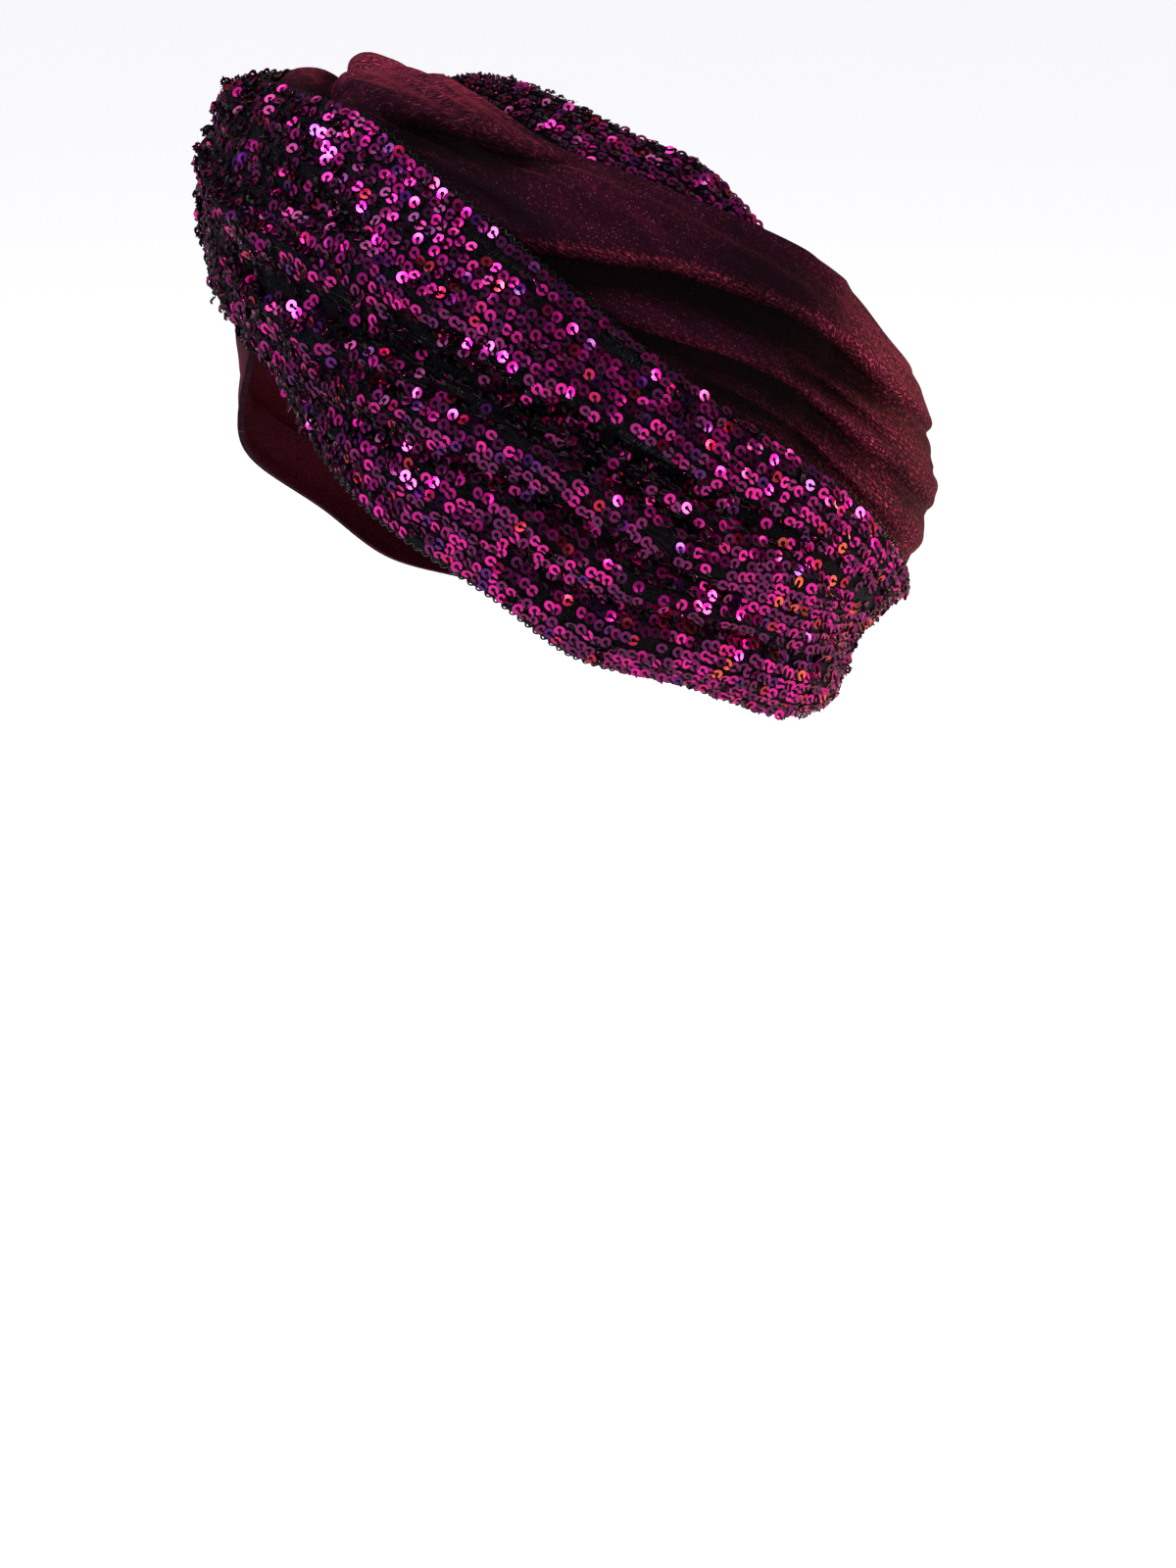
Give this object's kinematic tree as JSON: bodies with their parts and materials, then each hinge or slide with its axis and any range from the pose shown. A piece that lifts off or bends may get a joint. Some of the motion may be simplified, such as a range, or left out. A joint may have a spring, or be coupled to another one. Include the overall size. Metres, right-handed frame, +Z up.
{
  "type": "turban headwrap",
  "caption": "Open-crown turban headwrap: a sequin band and a velvet band cross in a gathered twist over the brow and meet in a seam at the nape.",
  "frame": {"origin": "middle of the head that the wrap is worn on, where the mount head is", "axes": "+Z up, the wearer faces -Y, +X is the wearer's left"},
  "size_m": [0.1732, 0.2027, 0.1753],
  "materials": {
    "sequin_cloth": "black stretch mesh covered in small magenta and purple sequins",
    "velvet_cloth": "wine red stretch velvet with a fine glitter",
    "sequin_strip_cloth": "black stretch mesh covered in small magenta and purple sequins"
  },
  "bodies": {
    "root": {"sequin_band": "sequin_cloth", "velvet_band": "velvet_cloth", "sequin_crown_strip": "sequin_strip_cloth"}
  },
  "joints": []
}
